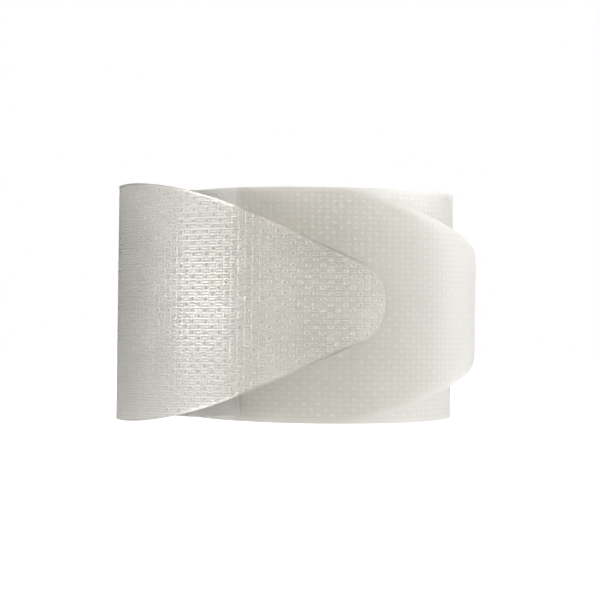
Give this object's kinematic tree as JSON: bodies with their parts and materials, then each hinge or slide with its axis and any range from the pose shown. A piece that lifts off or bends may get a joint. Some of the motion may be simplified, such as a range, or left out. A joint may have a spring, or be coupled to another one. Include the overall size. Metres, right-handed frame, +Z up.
{
  "type": "tree guard tube",
  "caption": "pair of springy embossed plastic trunk guards, each a rolled sheet with a rounded tongue, standing on edge: a closed ring coil and an open coil leaning on it",
  "frame": {"origin": "middle of the footprint of both guards, on the surface they stand on", "axes": "+Z up along the trunk, -Y towards the side where the two tongues show, +X towards the rear guard's tongue"},
  "size_m": [0.3196, 0.3128, 0.2003],
  "materials": {
    "embossed_film_rear": "translucent warm white sheet, smooth outside, small basket-weave embossing inside",
    "embossed_film_front": "translucent warm white sheet, small basket-weave embossing outside, smooth inside"
  },
  "bodies": {
    "rear_guard": {"rear_guard_coil": "embossed_film_rear"},
    "rear_tongue": {"rear_guard_tongue": "embossed_film_rear"},
    "front_guard": {"front_guard_coil": "embossed_film_front"},
    "front_tongue": {"front_guard_tongue": "embossed_film_front"}
  },
  "joints": [
    {"name": "rear_tongue_flex", "type": "hinge", "parent": "rear_guard", "child": "rear_tongue", "pos_m": [-0.02431, -0.076, 0.1], "axis": [0, 0, -1], "range_deg": [0, 30], "stiffness_Nm_per_rad": 0.05},
    {"name": "front_guard_lift", "type": "slide", "parent": "rear_guard", "child": "front_guard", "axis": [0, 0, 1], "range_m": [0, 0.21]},
    {"name": "front_tongue_flex", "type": "hinge", "parent": "front_guard", "child": "front_tongue", "pos_m": [-0.15394, -0.06798, 0.1], "axis": [0, 0, -1], "range_deg": [0, 35], "stiffness_Nm_per_rad": 0.05}
  ]
}
